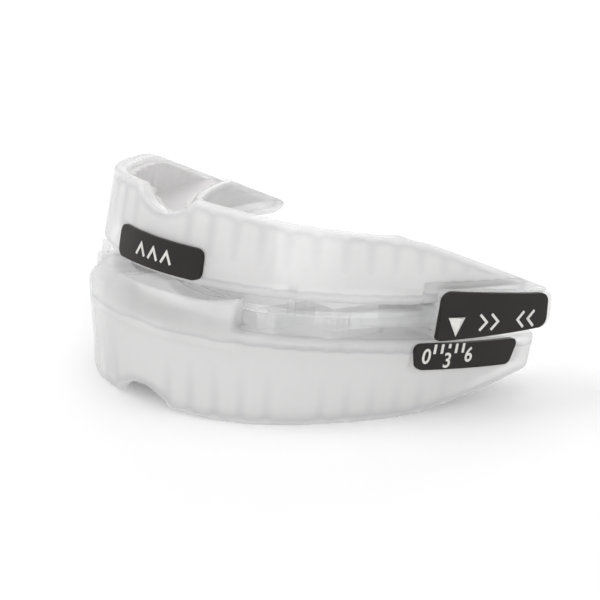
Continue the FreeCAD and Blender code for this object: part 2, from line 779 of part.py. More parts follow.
def make_lower_shell():
    body = new_body("lower_shell")
    leaning_block(body, 0.0, band, 0.0, 0.0, 0.0, -1)
    round_shell_ends(body)
    chamfer(body, "deck_edge_bevel", lambda edge: is_flat_at(edge, 0), size("deck_edge_bevel"))
    lip = new_sketch(body, "front_lip_outline", height=-size("lip_skirt"))
    front_strip(lip, 0.0, size("lip_depth"), size("lip_half_width"))
    lip_top = gap - size("lip_clearance")
    pad(body, "front_lip", lip, lip_top + size("lip_skirt"))

    def on_lip_front(edge):
        middle = edge.valueAt((edge.FirstParameter + edge.LastParameter) / 2)
        away = math.hypot(middle.x, middle.y - front_radius.value)
        return is_flat_at(edge, lip_top.value) and abs(away - front_radius.value) < 1e-3

    chamfer(body, "lip_shoulder", on_lip_front, size("lip_bevel"))
    channel = band_outline(size("cheek_wall"), band - size("tongue_wall"), -overrun)
    loft(body, "tooth_channel", channel, -size("upper_rim_front") - overrun,
         -size("shell_floor"), lower_lean_at, cut=True)
    lower_rim_cut(body, 0.0)
    frenum_notch(body, size("lower_notch_depth") - size("lower_rim_front"), -1)
    # each vent is the segment of a circle, as deep as it is set, cut down from the top of the lip
    half_vent = size("vent_width") / 2
    vent_depth = size("vent_depth")
    vent_radius = (half_vent * half_vent + vent_depth * vent_depth) / (vent_depth * 2)
    vent = new_sketch(body, "vent_outline", "XZ_Plane", overrun)
    disc(vent, size("vent_centre"), lip_top - vent_depth + vent_radius, vent_radius)
    vent_cut = pocket(body, "vent", vent, band + overrun)
    fit = size("plate_fit")
    plate_seat = side_outline(-size("plate_thick"), size("plate_recess"),
                              size("scale_front") - fit, size("scale_rear") + fit)
    seat_cut = loft(body, "scale_plate_seat", plate_seat, -size("scale_low") - fit,
                    size("plate_thick"), lower_lean_at, cut=True)
    mirrored(body, "right_side_cuts", [vent_cut, seat_cut])
    return body


def cut_flutes(body, inset, bed, hand):
    """Cuts upright V flutes into the cheek wall of the bite channel, along both of its arcs."""
    sketch = new_sketch(body, "flute_outline", height=bed)
    depth = size("flute_depth")

    def flute(centre_x, centre_y, reach, turn):
        # a square set on its corner, one diagonal along the wall and one into it
        across, up = cosine(turn), sine(turn)
        rounded_polygon(sketch, [
            (centre_x + (reach + depth) * across, centre_y + (reach + depth) * up),
            (centre_x + reach * across - depth * up, centre_y + reach * up + depth * across),
            (centre_x + (reach - depth) * across, centre_y + (reach - depth) * up),
            (centre_x + reach * across + depth * up, centre_y + reach * up - depth * across),
        ])

    def turns(reach, first, last, skipped):
        # angles of the flutes between two angles, one pitch apart and half a pitch from the first
        step = size("flute_pitch") / reach * math.degrees(1)
        count = int((last.value - first.value) / step.value)
        return [first + step * (number + 0.5) for number in range(skipped, count)]

    front_reach, side_reach = front_radius - inset, side_radius - inset
    joint = size("arch_front_angle") - 90
    rear = (size("flutes_rear") - side_centre_y) / side_reach
    rear_turn = Size(math.degrees(math.asin(rear.value)), "asin(%s)" % rear.text)
    # the first pitch on the front arc is left plain for the notch
    for turn in turns(front_reach, Size(-90.0, "-90"), joint, 1):
        flute(Size(0.0, "0"), front_radius, front_reach, turn)
    for turn in turns(side_reach, joint, rear_turn, 0):
        flute(-side_centre_x, side_centre_y, side_reach, turn)
    flutes = pocket(body, "flutes", sketch, size("upper_rim_front"), backwards=hand > 0)
    mirrored(body, "right_side_flutes", [flutes])


def make_liner(label, floor_height, hand):
    """The soft lining of one tray; hand is 1 where the channel opens up and -1 where it opens down."""
    body = new_body(label)
    outside = size("cheek_wall") + size("liner_fit")
    inside = band - size("tongue_wall") - size("liner_fit")
    start = floor_height + size("liner_fit") * hand
    bed = start + size("liner_floor") * hand
    end_setback = size("liner_end_setback")
    channel = band_outline(outside + size("liner_cheek_wall"), inside - size("liner_tongue_wall"), -overrun)
    leaning_block(body, outside, inside, end_setback, start, gap if hand > 0 else 0.0, hand)
    round_arm_ends(body, "inner_end_corners", size("arm_end_inner") - end_setback,
                   size("end_corner_inner") - size("tongue_wall"))
    far = start + (size("upper_rim_front") + overrun) * hand
    if hand > 0:
        loft(body, "bite_channel", channel, bed, far, upper_lean_at, cut=True)
    else:
        loft(body, "bite_channel", channel, far, bed, lower_lean_at, cut=True)
    middle = bed + size("flute_mid_height") * hand
    lean = upper_lean_at(middle) if hand > 0 else lower_lean_at(middle)
    cut_flutes(body, outside + size("liner_cheek_wall") + lean, bed, hand)
    setback = size("liner_setback")
    if hand > 0:
        upper_rim_cut(body, setback)
        tongue_rim_cut(body, setback)
        frenum_notch(body, size("upper_rim_front") - size("upper_notch_depth") - setback, hand)
    else:
        lower_rim_cut(body, setback)
        frenum_notch(body, size("lower_notch_depth") - size("lower_rim_front") + setback, hand)
    return body


# ---- slide: toothed guide rail below, track above, and the stop

def make_guide_rail():
    body = new_body("guide_rail_left")
    top = size("rail_height")
    slot_half_width = size("peg_radius") + size("peg_side_gap")
    slot_half = size("scale_travel") / 2 + size("peg_radius") + size("stop_end_gap")
    stop_outer = stop_side + slot_half_width + size("stop_wall")
    stop_inner = stop_side - slot_half_width - size("stop_wall")
    stop_front = size("stop_run") - slot_half - size("stop_wall")
    stop_rear = size("stop_run") + slot_half + size("stop_wall")
    rack = new_sketch(body, "rack_block_outline")
    rounded_polygon(rack, [
        (stop_inner, stop_front),
        (stop_outer, stop_front),
        (stop_outer, rack_front - size("rack_shoulder_run")),
        (rack_face - size("rack_shoulder_side"), rack_front),
        (rack_face, rack_front),
        (rack_face, rack_rear),
        (rail_centre - rail_high_half, rack_rear),
        (rail_centre - rail_high_half, stop_rear),
        (stop_inner, stop_rear),
    ])
    pad(body, "rack_block", rack, top)
    slot = new_sketch(body, "stop_slot_outline", height=top)
    rounded_polygon(slot, [
        (stop_side - slot_half_width, size("stop_run") - slot_half),
        (stop_side + slot_half_width, size("stop_run") - slot_half),
        (stop_side + slot_half_width, size("stop_run") + slot_half),
        (stop_side - slot_half_width, size("stop_run") + slot_half),
    ])
    pocket(body, "stop_slot", slot, top - size("stop_floor"))
    section = new_sketch(body, "rail_section", "XZ_Plane", -rack_rear)
    under_head = top - size("rail_head_thick")
    rounded_polygon(section, [
        (rail_centre - rail_low_half, as_size(0.0)),
        (rail_centre + rail_low_half, as_size(0.0)),
        (rail_centre + rail_low_half, under_head),
        (rail_centre + rail_high_half, under_head),
        (rail_centre + rail_high_half, top),
        (rail_centre - rail_high_half, top),
        (rail_centre - rail_high_half, under_head),
        (rail_centre - rail_low_half, under_head),
    ])
    pad(body, "rail", section, size("rail_rear") - rack_rear, backwards=True)
    # a notch opens past the face of the rack, as wide there as its slope makes it
    notch = new_sketch(body, "rack_notch_outline", height=top)
    past = size("cut_past")
    half_open = size("rack_tooth_width") / 2 * (past / size("rack_tooth_depth") + 1)
    rounded_polygon(notch, [
        (rack_face + past, first_notch - half_open),
        (rack_face + past, first_notch + half_open),
        (rack_face - size("rack_tooth_depth"), first_notch),
    ])
    notch_cut = pocket(body, "rack_notch", notch, top - size("rack_base"))
    line_pattern(body, "rack_notches", [notch_cut], (notch, ["V_Axis"]),
                 size("rack_pitch") * (size("rack_teeth") - 1), size("rack_teeth"))
    return body


def make_slide_track():
    body = new_body("slide_track_left")
    clear = size("track_clearance")
    bottom = size("deck_clearance")
    section = new_sketch(body, "track_section", "XZ_Plane", -track_front)
    slot_low = size("rail_height") - size("rail_head_thick") - clear
    slot_high = size("rail_height") + clear
    rounded_polygon(section, [
        (rail_centre - track_half, bottom),
        (rail_centre - rail_low_half - clear, bottom),
        (rail_centre - rail_low_half - clear, slot_low),
        (rail_centre - rail_high_half - clear, slot_low),
        (rail_centre - rail_high_half - clear, slot_high),
        (rail_centre + rail_high_half + clear, slot_high),
        (rail_centre + rail_high_half + clear, slot_low),
        (rail_centre + rail_low_half + clear, slot_low),
        (rail_centre + rail_low_half + clear, bottom),
        (rail_centre + track_half, bottom),
        (rail_centre + track_half, gap),
        (rail_centre - track_half, gap),
    ])
    pad(body, "track", section, size("track_rear") - track_front, backwards=True)
    # the ear holds the lower trunnion of the release lever
    ear = new_sketch(body, "ear_outline", height=bottom)
    half_ear = size("hub_radius") + size("ear_margin")
    rounded_polygon(ear, [
        (rail_centre + track_half - size("ear_lap"), size("pivot_run") - half_ear),
        (pivot_side + half_ear, size("pivot_run") - half_ear, size("hub_radius")),
        (pivot_side + half_ear, size("pivot_run") + half_ear, size("hub_radius")),
        (rail_centre + track_half - size("ear_lap"), size("pivot_run") + half_ear),
    ])
    pad(body, "ear", ear, size("ear_thick"))
    hole = new_sketch(body, "ear_hole_outline", height=bottom)
    disc(hole, pivot_side, size("pivot_run"), size("trunnion_radius") + size("trunnion_fit"))
    pocket(body, "ear_hole", hole, size("ear_thick"), backwards=True)
    return body


def make_stop_peg():
    peg = doc.addObject("Part::Cylinder", "stop_peg_left")
    peg.Label = "stop_peg_left"
    bind(peg, "Radius", size("peg_radius"))
    bind(peg, "Height", size("peg_seat") - size("peg_top_gap") + gap - size("peg_tip_gap"))
    return peg


# ---- release lever with its squeeze plate

def pad_face(inset):
    """Side outline of the squeeze pad, drawn in by inset."""
    low_corner, corner = size("pad_corner_low") - inset, size("pad_corner") - inset
    return [
        (size("pad_front_low") + inset, size("pad_low_front") + inset, low_corner),
        (size("pad_rear") - inset, size("pad_low_rear") + inset, corner),
        (size("pad_rear") - inset, size("pad_high_rear") - inset, corner),
        (size("pad_front_high") + inset, size("pad_high_front") - inset, corner),
    ]


def trim_to_face(body, name, corners, role="YZ_Plane"):
    """Cuts a curved strip down to a flat outline, by taking away the frame round it."""
    front, rear, low, high = extent(corners)
    margin = size("frame_margin") * 2
    sketch = new_sketch(body, name + "_frame", role)
    rounded_polygon(sketch, [
        (front - margin, low - margin),
        (rear + margin, low - margin),
        (rear + margin, high + margin),
        (front - margin, high + margin),
    ])
    rounded_polygon(sketch, corners)
    pocket(body, name, sketch, beyond * 2, both_ways=True)


def extent(corners):
    """The least and greatest run and rise of an outline."""
    runs = sorted((as_size(corner[0]) for corner in corners), key=lambda item: item.value)
    rises = sorted((as_size(corner[1]) for corner in corners), key=lambda item: item.value)
    return runs[0], runs[-1], rises[0], rises[-1]


def make_release_lever():
    body = new_body("release_lever_left")
    strip = new_sketch(body, "pad_strip_outline", height=size("pad_low_front"))
    side_strip(strip, -size("pad_thick"), 0.0, size("pad_front_low"), size("pad_rear"))
    pad(body, "pad_strip", strip, size("pad_high_front") - size("pad_low_front"))
    trim_to_face(body, "pad_face", pad_face(as_size(0.0)))
    # hub and arm lie between the trays; the arm reaches forward to the pawl
    hub_low = size("deck_clearance") + size("ear_thick") + size("hub_gap")
    hub_high = gap - size("hub_gap")
    hub = new_sketch(body, "hub_outline", height=hub_low)
    hub_radius = size("hub_radius")
    head_face = rack_face + size("pawl_gap")
    head_front = size("pawl_run") - size("pawl_lead")
    head_rear = size("pawl_run") + size("rack_pitch") * (size("pawl_teeth") - 1) + size("pawl_lead")
    pad_root = side_arc_at(size("pivot_run") + hub_radius) + size("cut_past")
    arm_root = side_arc_at(size("pivot_run") - hub_radius) + size("cut_past")
    rounded_polygon(hub, [
        (pivot_side - hub_radius, size("pivot_run") + hub_radius, size("hub_root")),
        (pivot_side - hub_radius, size("pivot_run") - size("hub_shoulder")),
        (head_face + size("pawl_thick") - size("arm_thick"), head_rear + size("pawl_lead")),
        (head_face, head_rear),
        (head_face, head_front),
        (head_face + size("pawl_nose"), head_front),
        (head_face + size("pawl_thick"), head_rear),
        (pivot_side, size("pivot_run") - hub_radius - size("arm_thick")),
        (arm_root, size("pivot_run") - hub_radius),
        (pad_root, size("pivot_run") + hub_radius),
    ])
    pad(body, "hub_and_arm", hub, hub_high - hub_low)
    # the arm is thinner than the hub
    thin = new_sketch(body, "arm_relief_outline", height=hub_high)
    arm_end = size("pivot_run") - size("hub_shoulder")
    rounded_polygon(thin, [
        (rack_face - size("pawl_thick"), head_front - size("pawl_lead")),
        (pivot_side + overrun, head_front - size("pawl_lead")),
        (pivot_side + overrun, size("pad_front_low") - size("cut_past")),
        (pivot_side, size("pad_front_low") - size("cut_past")),
        (rack_face - size("pawl_thick"), arm_end),
    ])
    pocket(body, "arm_relief", thin, size("arm_drop"))
    tooth = new_sketch(body, "pawl_tooth_outline", height=hub_low)
    half_tooth = size("pawl_tooth_width") / 2
    rounded_polygon(tooth, [
        (head_face + size("cut_past"), size("pawl_run") - half_tooth),
        (head_face + size("cut_past"), size("pawl_run") + half_tooth),
        (head_face, size("pawl_run") + half_tooth),
        (head_face - size("pawl_tooth_depth"), size("pawl_run")),
        (head_face, size("pawl_run") - half_tooth),
    ])
    tooth_pad = pad(body, "pawl_tooth", tooth, hub_high - size("arm_drop") - hub_low)
    line_pattern(body, "pawl_teeth", [tooth_pad], (tooth, ["V_Axis"]),
                 size("rack_pitch") * (size("pawl_teeth") - 1), size("pawl_teeth"))
    trunnion = new_sketch(body, "trunnion_outline", height=size("deck_clearance"))
    disc(trunnion, pivot_side, size("pivot_run"), size("trunnion_radius"))
    pad(body, "trunnions", trunnion, gap - size("deck_clearance") + size("trunnion_length"))
    return body


def upright(height):
    return as_size(0.0)


def make_side_plate(label, corners, outer, inner, lean_at):
    """A thin plate that follows the cheek side; corners is its outline seen from the side."""
    body = new_body(label)
    front, rear, low, high = extent(corners)
    loft(body, "plate_strip", side_outline(outer, inner, front, rear), low, high, lean_at)
    trim_to_face(body, "plate_face", corners)
    return body


def make_squeeze_plate():
    pad_top = -size("pad_thick")
    return make_side_plate("squeeze_plate_left", pad_face(size("plate_inset")),
                           pad_top - size("plate_thick"), pad_top, upright)


def make_scale_plate():
    corner, lean = size("plate_corner"), size("scale_lean")
    corners = [
        (size("scale_front") + lean, -size("scale_low"), corner),
        (size("scale_rear") - lean, -size("scale_low"), corner),
        (size("scale_rear"), -size("scale_high"), corner),
        (size("scale_front"), -size("scale_high"), corner),
    ]
    outer, inner = size("plate_recess") - size("plate_thick"), size("plate_recess")
    return make_side_plate("scale_plate_left", corners, outer, inner, lower_lean_at)


def make_front_plate():
    body = new_body("front_plate")
    half, corner = size("front_plate_width") / 2, size("front_plate_corner")
    low, high = size("front_plate_low"), size("front_plate_high")
    outer, inner = size("plate_recess") - size("plate_thick"), size("plate_recess")
    loft(body, "plate_strip", front_outline(outer, inner, half + size("frame_margin")),
         low, high, upper_lean_at)
    corners = [(-half, low, corner), (half, low, corner), (half, high, corner), (-half, high, corner)]
    trim_to_face(body, "plate_face", corners, "XZ_Plane")
    return body


# ---- build, place and write

upper_pieces = [
    make_upper_shell(),
    make_liner("upper_liner", upper_floor_top, 1),
    make_front_plate(),
]
upper_pairs = [make_slide_track(), make_stop_peg(), make_release_lever(), make_squeeze_plate()]
lower_pieces = [make_lower_shell(), make_liner("lower_liner", -size("shell_floor"), -1)]
lower_pairs = [make_guide_rail(), make_scale_plate()]

tilt = size("rest_tilt")
advance = size("rest_advance")
belly_drop = size("belly_depth") * cosine(tilt) + (size("belly_front") - advance) * sine(tilt)
no_shift = as_size(0.0)


def lean_back(piece, across, run, rise):
    """Places a piece drawn at (across, run, rise) in tray space."""
    piece.Placement = FreeCAD.Placement(
        FreeCAD.Vector(), FreeCAD.Rotation(FreeCAD.Vector(1, 0, 0), -tilt.value))
    bind(piece, "Placement.Rotation.Angle", -tilt)
    bind(piece, "Placement.Base.x", across)
    bind(piece, "Placement.Base.y", run * cosine(tilt) + rise * sine(tilt) - size("centre_offset"))
    bind(piece, "Placement.Base.z", rise * cosine(tilt) - run * sine(tilt) + belly_drop)


for piece in upper_pieces + upper_pairs:
    if piece.Label.startswith("stop_peg"):
        lean_back(piece, stop_side, size("stop_run") - advance, size("peg_tip_gap"))
    else:
        lean_back(piece, no_shift, no_shift, no_shift)
for piece in lower_pieces + lower_pairs:
    lean_back(piece, no_shift, -advance, no_shift)

right_pieces = []
for piece in upper_pairs + lower_pairs:
    twin = doc.addObject("Part::Mirroring", piece.Label.replace("_left", "_right"))
    twin.Label = piece.Label.replace("_left", "_right")
    twin.Source = piece
    twin.Base = FreeCAD.Vector(0, 0, 0)
    twin.Normal = FreeCAD.Vector(1, 0, 0)
    right_pieces.append(twin)

sub_parts = upper_pieces + upper_pairs + lower_pieces + lower_pairs + right_pieces
doc.recompute()

# the origin lies under the middle of the whole mouthpiece
whole = FreeCAD.BoundBox()
for piece in sub_parts:
    whole.add(piece.Shape.optimalBoundingBox(False))
offset_cell = sheet.getCellFromAlias("centre_offset")
sheet.set(offset_cell, "%.4f" % (size("centre_offset").value + whole.Center.y))
doc.recompute()

for item in doc.Objects:
    if "Invalid" in item.State or "Error" in item.State:
        raise ValueError("%s did not build: %s" % (item.Label, item.State))
for piece in sub_parts:
    if piece.Shape.isNull() or not piece.Shape.isValid():
        raise ValueError("%s has no valid shape" % piece.Label)

os.makedirs("parts", exist_ok=True)
for piece in sub_parts:
    piece.Shape.exportStep(os.path.join("parts", piece.Label + ".step"))
    box = piece.Shape.optimalBoundingBox(False)
    print("%-22s solids %d volume %8.2f  x %.2f..%.2f  y %.2f..%.2f  z %.2f..%.2f" % (
        piece.Label, len(piece.Shape.Solids), piece.Shape.Volume,
        box.XMin, box.XMax, box.YMin, box.YMax, box.ZMin, box.ZMax))
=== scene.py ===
import json
import math

import bmesh
import bpy
import numpy
from mathutils import Matrix, Vector
from mathutils.bvhtree import BVHTree


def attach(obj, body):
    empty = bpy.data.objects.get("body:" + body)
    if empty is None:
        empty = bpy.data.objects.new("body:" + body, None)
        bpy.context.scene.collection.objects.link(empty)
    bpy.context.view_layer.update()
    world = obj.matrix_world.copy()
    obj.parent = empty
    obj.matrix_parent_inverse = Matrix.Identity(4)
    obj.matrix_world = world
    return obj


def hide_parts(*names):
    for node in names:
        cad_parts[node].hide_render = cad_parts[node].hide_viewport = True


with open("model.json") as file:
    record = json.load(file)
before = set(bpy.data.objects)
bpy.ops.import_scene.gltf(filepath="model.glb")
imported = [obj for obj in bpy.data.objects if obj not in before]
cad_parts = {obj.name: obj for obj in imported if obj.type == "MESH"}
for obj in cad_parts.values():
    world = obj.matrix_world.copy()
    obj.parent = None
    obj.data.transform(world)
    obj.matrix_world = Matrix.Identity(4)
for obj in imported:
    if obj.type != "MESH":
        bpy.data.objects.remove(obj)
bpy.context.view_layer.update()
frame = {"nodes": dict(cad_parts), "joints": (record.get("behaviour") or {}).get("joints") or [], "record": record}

mm = 0.001  # every size below is in millimetres, and the scene is in metres
cadNodes = frame["nodes"]
joints = {joint["name"]: joint for joint in frame["joints"]}
slotOf = {part["node"]: part["material_slot"] for part in frame["record"]["subparts"]}
bodyOf = {}
for body, names in frame["record"]["behaviour"]["bodies"].items():
    for name in names:
        bodyOf[name] = body

# the trays' own directions: along runs to the back of the arms, rise stands off the biting decks
along = Vector(joints["jaw_advance"]["axis"])
rise = Vector(joints["squeeze_left"]["axis"])
deck = min(v.co.dot(rise) for v in cadNodes["guide_rail_left"].data.vertices)  # top of the lower tray


def linear(code):
    # one sRGB hex colour as the linear colour that a shader socket takes
    parts = [int(code[i:i + 2], 16) / 255 for i in (1, 3, 5)]
    return [p / 12.92 if p <= 0.04045 else ((p + 0.055) / 1.055) ** 2.4 for p in parts] + [1.0]


def addNode(tree, kind, settings=None, inputs=None):
    # adds a node, sets its attributes, and sets or links its inputs by name or place
    node = tree.nodes.new(kind)
    for name, value in (settings or {}).items():
        setattr(node, name, value)
    for name, value in (inputs or {}).items():
        if isinstance(value, bpy.types.NodeSocket):
            tree.links.new(value, node.inputs[name])
        else:
            node.inputs[name].default_value = value
    return node


def newMaterial(name):
    material = bpy.data.materials.new(name)
    material.use_nodes = True
    material.node_tree.nodes.clear()
    return material, material.node_tree


noiseLow, noiseHigh = 0.3, 0.7  # a noise texture's values seldom go past these

# Moulded clear copolyester, polished in the mould: glossy and colourless. It is glassy where it stands
# alone and milky where the lining lies behind it, with shade painted as a greyer band over each groove
# of the lining.
clearSettings = {
    "colour": "#efeeee",        # over the lining
    "paintedGrooveShade": "#d6d6d8",        # painted shade over the grooves between the lining's flutes
    "bareColourAndRimHighlight": "#ffffff",    # with no lining behind it: its own colour, which on a shell's bare rims is also a painted highlight
    "thinCloud": "#f2f3f4",     # and where its flow marks gather
    "shellAlpha": 0.55,         # how much of what is behind it a tray's wall hides
    "workAlpha": 0.32,          # the same for the slide's small parts
    "veilAlpha": 0.34,          # and for the skirt
    "glassyAlone": 0.3,         # how glassy it is with no lining behind it
    "glassyThin": 0.2,          # in the skirt
    "glassyBacked": 0.15,       # and over the lining
    "glassySpread": 0.05,
    "thinBacking": 0.45,        # lining in a groove
    "thickBacking": 1.05,       # lining under a flute
    "smoothest": 0.096,
    "roughest": 0.15,
    "ior": 1.42,
    "flow": 7.0,                # flow marks, a few to each side of a tray
    "flowHeight": 0.03,         # so that reflections waver a little
    "flowStrength": 0.25,
    "polish": 0.9,              # patches that the mould's polish leaves, just large enough to show
}


def makeClear(name, backed, glassiness, alpha):
    # glassiness and alpha are names of settings
    s = clearSettings
    light, dark = (s["colour"], s["paintedGrooveShade"]) if backed else (s["bareColourAndRimHighlight"], s["thinCloud"])
    material, tree = newMaterial(name)
    place = addNode(tree, "ShaderNodeTexCoord")
    flow = addNode(tree, "ShaderNodeTexNoise", {}, {
        "Vector": place.outputs["Object"], "Scale": 1 / (s["flow"] * mm),
        "Detail": 2.0, "Roughness": 0.4})
    polish = addNode(tree, "ShaderNodeTexNoise", {}, {
        "Vector": place.outputs["Object"], "Scale": 1 / (s["polish"] * mm), "Detail": 3.0})
    rough = addNode(tree, "ShaderNodeMapRange", {}, {
        "Value": polish.outputs["Fac"], "From Min": noiseLow, "From Max": noiseHigh,
        "To Min": s["smoothest"], "To Max": s["roughest"]})
    bump = addNode(tree, "ShaderNodeBump", {}, {
        "Height": flow.outputs["Fac"], "Strength": s["flowStrength"],
        "Distance": s["flowHeight"] * mm})
    tint = addNode(tree, "ShaderNodeMix", {"data_type": "RGBA"}, {
        "Factor": flow.outputs["Fac"], 6: linear(light), 7: linear(dark)})
    glassy = addNode(tree, "ShaderNodeMapRange", {}, {
        "Value": flow.outputs["Fac"], "From Min": noiseLow, "From Max": noiseHigh,
        "To Min": s[glassiness] - s["glassySpread"], "To Max": s[glassiness] + s["glassySpread"]})
    if backed:
        # "backing" is the thickness of lining behind each point, and it is 0 where there is none
        backing = addNode(tree, "ShaderNodeAttribute", {"attribute_name": "backing"})
        fade = addNode(tree, "ShaderNodeMapRange", {}, {
            "Value": backing.outputs["Fac"], "From Max": s["thinBacking"]})
        glassy = addNode(tree, "ShaderNodeMapRange", {}, {
            "Value": fade.outputs["Result"],
            "To Min": glassy.outputs["Result"], "To Max": s["glassyBacked"]})
        # shade painted over the lining's grooves: strongest over the thinnest lining, gone over the thickest
        grooveShadeBand = addNode(tree, "ShaderNodeMapRange", {}, {
            "Value": backing.outputs["Fac"], "From Min": s["thinBacking"],
            "From Max": s["thickBacking"], "To Min": 1.0, "To Max": 0.0})
        paintedGrooveShade = addNode(tree, "ShaderNodeMath", {"operation": "MULTIPLY"}, {
            0: grooveShadeBand.outputs["Result"], 1: fade.outputs["Result"]})
        # a shell takes the bare colour where no lining lies behind it, which also paints a highlight along its
        # rims
        wall = addNode(tree, "ShaderNodeMix", {"data_type": "RGBA"}, {
            "Factor": fade.outputs["Result"], 6: linear(s["bareColourAndRimHighlight"]), 7: linear(light)})
        tree.links.new(wall.outputs[2], tint.inputs[6])
        tree.links.new(paintedGrooveShade.outputs["Value"], tint.inputs["Factor"])
    shader = addNode(tree, "ShaderNodeBsdfPrincipled", {}, {
        "Base Color": tint.outputs[2], "Roughness": rough.outputs["Result"], "IOR": s["ior"],
        "Transmission Weight": glassy.outputs["Result"], "Normal": bump.outputs["Normal"],
        "Alpha": s[alpha]})
    addNode(tree, "ShaderNodeOutputMaterial", {}, {"Surface": shader.outputs["BSDF"]})
    return material


# Soft moulded EVA lining: milky and frosted, a little lighter where its wall is thin enough for light
# to come through.
liningSettings = {
    "thin": "#ffffff",
    "thick": "#f0eeee",
    "thinWall": 0.5,
    "thickWall": 1.6,
    "roughness": 0.5,
    "glassiness": 0.1,
    "alpha": 0.75,              # how much of what is behind it the lining hides
    "ior": 1.42,
    "grain": 0.5,               # frosting, drawn coarser than the real one so that it shows
    "grainHeight": 0.02,
    "grainStrength": 0.3,
}


def makeLining():
    s = liningSettings
    material, tree = newMaterial("frosted_eva")
    place = addNode(tree, "ShaderNodeTexCoord")
    grain = addNode(tree, "ShaderNodeTexNoise", {}, {
        "Vector": place.outputs["Object"], "Scale": 1 / (s["grain"] * mm), "Detail": 4.0})
    bump = addNode(tree, "ShaderNodeBump", {}, {
        "Height": grain.outputs["Fac"], "Strength": s["grainStrength"],
        "Distance": s["grainHeight"] * mm})
    wall = addNode(tree, "ShaderNodeAttribute", {"attribute_name": "wall"})
    thickness = addNode(tree, "ShaderNodeMapRange", {}, {
        "Value": wall.outputs["Fac"], "From Min": s["thinWall"], "From Max": s["thickWall"]})
    tint = addNode(tree, "ShaderNodeMix", {"data_type": "RGBA"}, {
        "Factor": thickness.outputs["Result"], 6: linear(s["thin"]), 7: linear(s["thick"])})
    shader = addNode(tree, "ShaderNodeBsdfPrincipled", {}, {
        "Base Color": tint.outputs[2], "Roughness": s["roughness"], "IOR": s["ior"],
        "Transmission Weight": s["glassiness"], "Normal": bump.outputs["Normal"],
        "Alpha": s["alpha"]})
    addNode(tree, "ShaderNodeOutputMaterial", {}, {"Surface": shader.outputs["BSDF"]})
    return material


# Moulded ABS with a fine spark-eroded grain, which gives the plates a satin, brownish black.
blackSettings = {
    "colour": "#1f1c1b",
    "worn": "#2b2826",
    "patch": 3.5,               # paler patches from handling, four or five to a plate
    "smoothest": 0.41,
    "roughest": 0.54,
    "specular": 0.25,
    "grain": 0.25,
    "grainHeight": 0.012,
    "grainStrength": 0.35,
}


def makeBlack():
    s = blackSettings
    material, tree = newMaterial("black_abs")
    place = addNode(tree, "ShaderNodeTexCoord")
    grain = addNode(tree, "ShaderNodeTexNoise", {}, {
        "Vector": place.outputs["Object"], "Scale": 1 / (s["grain"] * mm), "Detail": 3.0})
    patch = addNode(tree, "ShaderNodeTexNoise", {}, {
        "Vector": place.outputs["Object"], "Scale": 1 / (s["patch"] * mm), "Detail": 2.0})
    tint = addNode(tree, "ShaderNodeMix", {"data_type": "RGBA"}, {
        "Factor": patch.outputs["Fac"], 6: linear(s["colour"]), 7: linear(s["worn"])})
    rough = addNode(tree, "ShaderNodeMapRange", {}, {
        "Value": patch.outputs["Fac"], "From Min": noiseLow, "From Max": noiseHigh,
        "To Min": s["smoothest"], "To Max": s["roughest"]})
    bump = addNode(tree, "ShaderNodeBump", {}, {
        "Height": grain.outputs["Fac"], "Strength": s["grainStrength"],
        "Distance": s["grainHeight"] * mm})
    shader = addNode(tree, "ShaderNodeBsdfPrincipled", {}, {
        "Base Color": tint.outputs[2], "Roughness": rough.outputs["Result"],
        "Specular IOR Level": s["specular"], "Normal": bump.outputs["Normal"]})
    addNode(tree, "ShaderNodeOutputMaterial", {}, {"Surface": shader.outputs["BSDF"]})
    return material


# White pad-printing ink, matt, and a little greyer in the small patches where it is thin.
inkSettings = {
    "colour": "#e9e7e3",
    "thin": "#cfccc8",
    "patch": 0.6,
    "roughness": 0.5,
}


def makeInk():
    s = inkSettings
    material, tree = newMaterial("white_ink")
    place = addNode(tree, "ShaderNodeTexCoord")
    patch = addNode(tree, "ShaderNodeTexNoise", {}, {
        "Vector": place.outputs["Object"], "Scale": 1 / (s["patch"] * mm), "Detail": 2.0})
    tint = addNode(tree, "ShaderNodeMix", {"data_type": "RGBA"}, {
        "Factor": patch.outputs["Fac"], 6: linear(s["colour"]), 7: linear(s["thin"])})
    shader = addNode(tree, "ShaderNodeBsdfPrincipled", {}, {
        "Base Color": tint.outputs[2], "Roughness": s["roughness"]})
    addNode(tree, "ShaderNodeOutputMaterial", {}, {"Surface": shader.outputs["BSDF"]})
    return material


clear = makeClear("clear_copolyester", False, "glassyAlone", "workAlpha")
shell = makeClear("clear_copolyester_backed", True, "glassyAlone", "shellAlpha")
veil = makeClear("clear_copolyester_thin", False, "glassyThin", "veilAlpha")
lining = makeLining()
black = makeBlack()
ink = makeInk()
finishes = {"clear_shell": clear, "frosted_lining": lining, "black_plate": black}
for name, slot in slotOf.items():
    cadNodes[name].data.materials.clear()
    cadNodes[name].data.materials.append(finishes[slot])
print("materials made:", len(bpy.data.materials))


def meshObject(name, mesh):
    piece = bpy.data.objects.new(name, mesh)
    bpy.context.scene.collection.objects.link(piece)
    return piece


def plainMesh(piece):
    # what a piece looks like with its modifiers or its curve worked out
    graph = bpy.context.evaluated_depsgraph_get()
    return bpy.data.meshes.new_from_object(piece.evaluated_get(graph))


def skinOf(mesh):
    return BVHTree.FromPolygons([v.co for v in mesh.vertices], [p.vertices for p in mesh.polygons])


def store(mesh, name, values, passes):
    # keeps one number a point, blended with its neighbours so that it has no hard steps
    edges = numpy.empty(len(mesh.edges) * 2, dtype=numpy.int64)
    mesh.edges.foreach_get("vertices", edges)
    a, b = edges.reshape(-1, 2).T
    count = len(mesh.vertices)
    near = numpy.bincount(a, minlength=count) + numpy.bincount(b, minlength=count)
    for _ in range(passes):
        total = numpy.bincount(a, values[b], count) + numpy.bincount(b, values[a], count)
        values = (values + total / near) / 2
    mesh.attributes.new(name, "FLOAT", "POINT").data.foreach_set("value", values)


